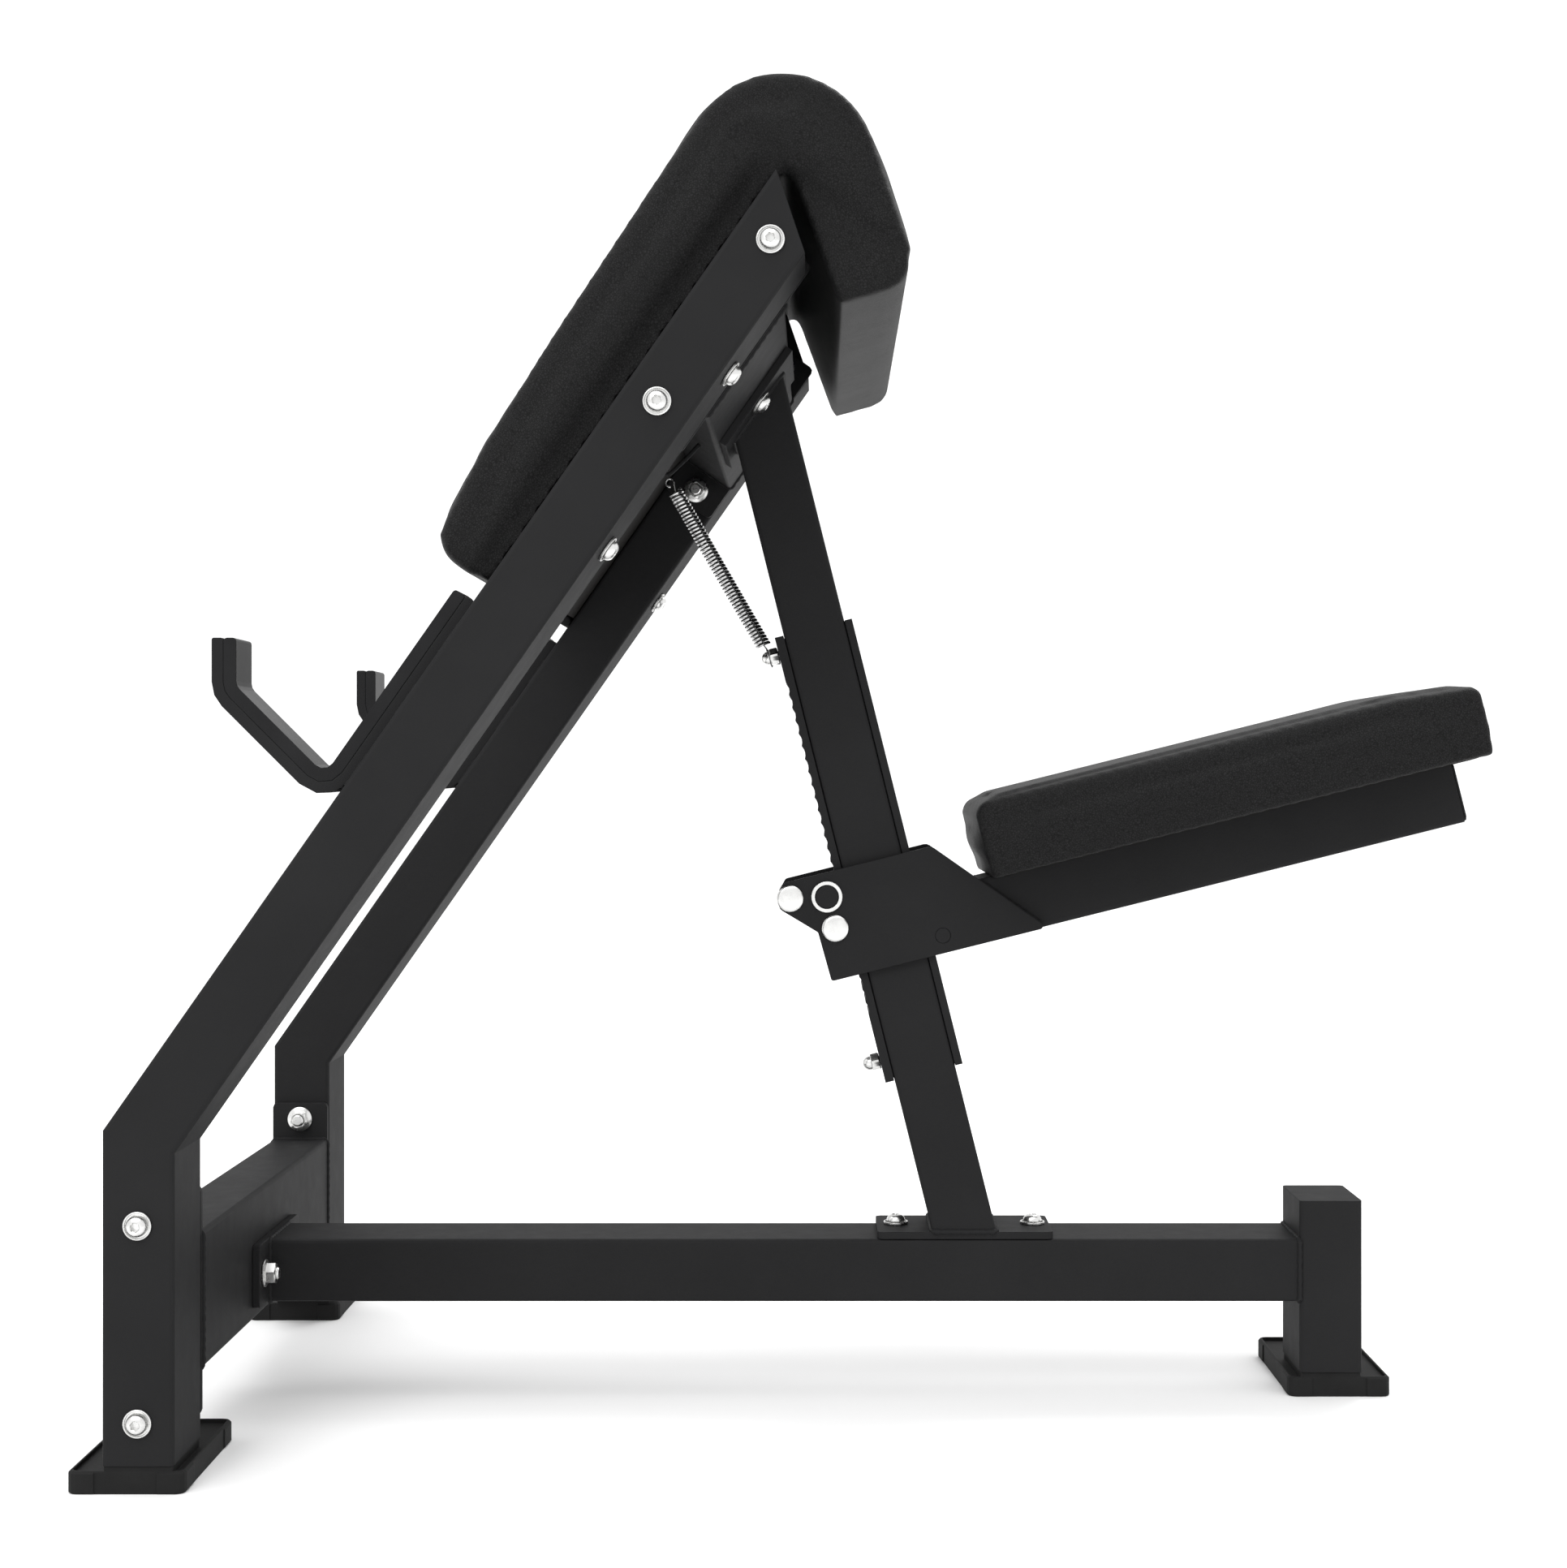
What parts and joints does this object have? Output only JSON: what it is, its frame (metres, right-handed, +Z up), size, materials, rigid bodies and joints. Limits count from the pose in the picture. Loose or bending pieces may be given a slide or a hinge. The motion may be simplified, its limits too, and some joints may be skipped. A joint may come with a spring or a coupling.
{
  "type": "preacher curl bench",
  "caption": "Preacher curl bench: rolled arm pad on two bent tube frames with bar hooks, and a padded seat that locks by its own weight at any notch of a toothed mast.",
  "frame": {"origin": "floor plane, below the middle of the bench's bounding box", "axes": "+X toward the seat end, +Y across the bench to its far side, +Z up"},
  "size_m": [1.0486, 0.6858, 0.9924],
  "materials": {
    "frame_paint": "matte black textured powder coat",
    "zinc_plate": "bright zinc plate",
    "spring_chrome": "bright plated spring wire",
    "foot_rubber": "matte black rubber",
    "black_plastic": "satin black moulded plastic",
    "vinyl": "black fine-grained upholstery vinyl",
    "plywood": "black-stained plywood"
  },
  "bodies": {
    "frame": {"arm_board": "plywood", "arm_pad": "vinyl", "base_bolt_1": "zinc_plate", "base_bolt_2": "zinc_plate", "beam_bolt_far": "zinc_plate", "beam_bolt_near": "zinc_plate", "beam_nut_far": "zinc_plate", "beam_nut_near": "zinc_plate", "cross_beam_lower": "frame_paint", "cross_beam_upper": "frame_paint", "foot_front_far": "foot_rubber", "foot_front_near": "foot_rubber", "foot_rear": "foot_rubber", "frame_bolt_far_1": "zinc_plate", "frame_bolt_far_2": "zinc_plate", "frame_bolt_far_3": "zinc_plate", "frame_bolt_far_4": "zinc_plate", "frame_bolt_near_1": "zinc_plate", "frame_bolt_near_2": "zinc_plate", "frame_bolt_near_3": "zinc_plate", "frame_bolt_near_4": "zinc_plate", "frame_nut_far_1": "zinc_plate", "frame_nut_far_2": "zinc_plate", "frame_nut_far_3": "zinc_plate", "frame_nut_far_4": "zinc_plate", "frame_nut_near_1": "zinc_plate", "frame_nut_near_2": "zinc_plate", "frame_nut_near_3": "zinc_plate", "frame_nut_near_4": "zinc_plate", "hook_liner_far": "black_plastic", "hook_liner_near": "black_plastic", "hook_strap_far": "frame_paint", "hook_strap_near": "frame_paint", "main_beam": "frame_paint", "mast": "frame_paint", "pad_bolt_far_1": "zinc_plate", "pad_bolt_far_2": "zinc_plate", "pad_bolt_near_1": "zinc_plate", "pad_bolt_near_2": "zinc_plate", "rack_bolt_lower": "zinc_plate", "rack_bolt_upper": "zinc_plate", "rear_post": "frame_paint", "rear_strip": "frame_paint", "side_frame_far": "frame_paint", "side_frame_near": "frame_paint", "spring": "spring_chrome", "spring_anchor": "frame_paint", "toothed_rack": "frame_paint", "top_bolt_far": "zinc_plate", "top_bolt_near": "zinc_plate"},
    "seat_slider": {"roller": "black_plastic", "roller_axle": "frame_paint"},
    "seat_carriage": {"carriage_plate_near": "frame_paint", "carriage_plate_far": "frame_paint", "lock_bar": "frame_paint", "pin_upper": "zinc_plate", "pin_lower": "zinc_plate", "seat_tube": "frame_paint", "seat_board": "plywood", "seat_pad": "vinyl"}
  },
  "joints": [
    {"name": "seat_height", "type": "slide", "parent": "frame", "child": "seat_slider", "axis": [-0.2419, 0, 0.9703], "range_m": [-0.0848, 0.1696]},
    {"name": "seat_lift", "type": "hinge", "parent": "seat_slider", "child": "seat_carriage", "pos_m": [0.09698, -0.0331, 0.37065], "axis": [0, -1, 0], "range_deg": [0, 12]}
  ]
}
